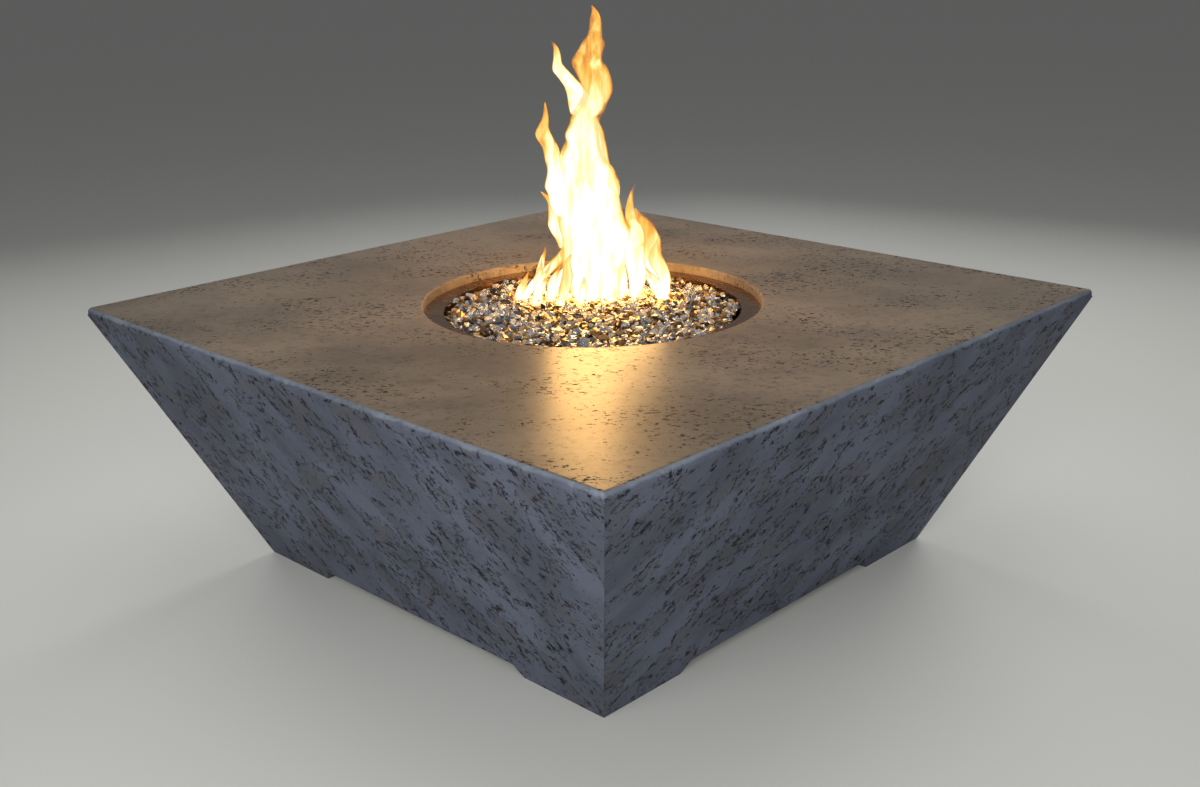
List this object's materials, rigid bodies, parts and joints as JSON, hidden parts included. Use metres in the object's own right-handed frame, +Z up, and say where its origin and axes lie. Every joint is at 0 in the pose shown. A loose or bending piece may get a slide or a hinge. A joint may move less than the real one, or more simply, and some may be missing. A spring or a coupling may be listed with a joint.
{
  "type": "gas fire pit table",
  "caption": "Square cast-concrete gas fire pit table with inward-sloping walls, a round drop-in burner pan of fire glass and a rear control panel.",
  "frame": {"origin": "centre of the base on the floor", "axes": "+Z up, -Y and +X are the plain faces, +Y is the face with the control panel"},
  "size_m": [1.32, 1.32, 0.5],
  "materials": {
    "concrete": "cast, pitted",
    "pan_steel": "brushed",
    "fire_glass": "tumbled",
    "burner_steel": "heat-tinted",
    "zinc_steel": "zinc plated",
    "brass": "machined",
    "braid": "braided",
    "cast_aluminium": "cast",
    "spring_steel": "drawn",
    "black_plastic": "matt",
    "white_plastic": "matt",
    "cell_jacket": "printed film, plain",
    "button_chrome": "polished",
    "wire_jacket": "silicone rubber",
    "ceramic": "unglazed",
    "aluminium_tube": "drawn",
    "copper": "copper, drawn"
  },
  "bodies": {
    "table": {"concrete_body": "concrete", "burner_pan": "pan_steel", "fire_glass_bed": "fire_glass", "star_burner": "burner_steel", "burner_nipple": "zinc_steel", "burner_locknuts": "zinc_steel", "air_mixer": "brass", "gas_orifice": "brass", "burner_hose": "braid", "hose_nuts": "brass", "valve_body": "cast_aluminium", "magnet_unit": "brass", "valve_screws": "zinc_steel", "control_panel": "pan_steel", "panel_inserts": "brass", "panel_screws": "zinc_steel", "igniter_body": "black_plastic", "igniter_nut": "black_plastic", "igniter_battery": "cell_jacket", "igniter_wire": "wire_jacket", "spark_electrode": "ceramic", "pilot_bracket": "pan_steel", "pilot_burner": "pan_steel", "pilot_screws": "zinc_steel", "pilot_tube": "aluminium_tube", "thermocouple": "burner_steel", "thermocouple_lead": "copper", "inlet_fitting": "brass"},
    "valve_turn": {"valve_plug": "brass", "stem_spring": "spring_steel"},
    "knob": {"valve_stem": "zinc_steel", "control_knob": "black_plastic", "knob_pointer": "white_plastic"},
    "cap": {"igniter_cap": "black_plastic", "button_spring": "spring_steel"},
    "button": {"igniter_button": "button_chrome"}
  },
  "joints": [
    {"name": "knob_turn", "type": "hinge", "parent": "table", "child": "valve_turn", "pos_m": [0.05, 0.55853, 0.255], "axis": [0, 0.9162, -0.4007], "range_deg": [0, 180]},
    {"name": "knob_push", "type": "slide", "parent": "valve_turn", "child": "knob", "axis": [0, -0.9162, 0.4007], "range_m": [0, 0.004], "stiffness_N_per_m": 2000, "springref_m": -0.003, "deforming": ["stem_spring"]},
    {"name": "igniter_cap_off", "type": "slide", "parent": "table", "child": "cap", "axis": [0, 0.9162, -0.4007], "range_m": [0, 0.035]},
    {"name": "igniter_press", "type": "slide", "parent": "cap", "child": "button", "axis": [0, -0.9162, 0.4007], "range_m": [0, 0.003], "stiffness_N_per_m": 1200, "springref_m": -0.003, "deforming": ["button_spring"]}
  ]
}
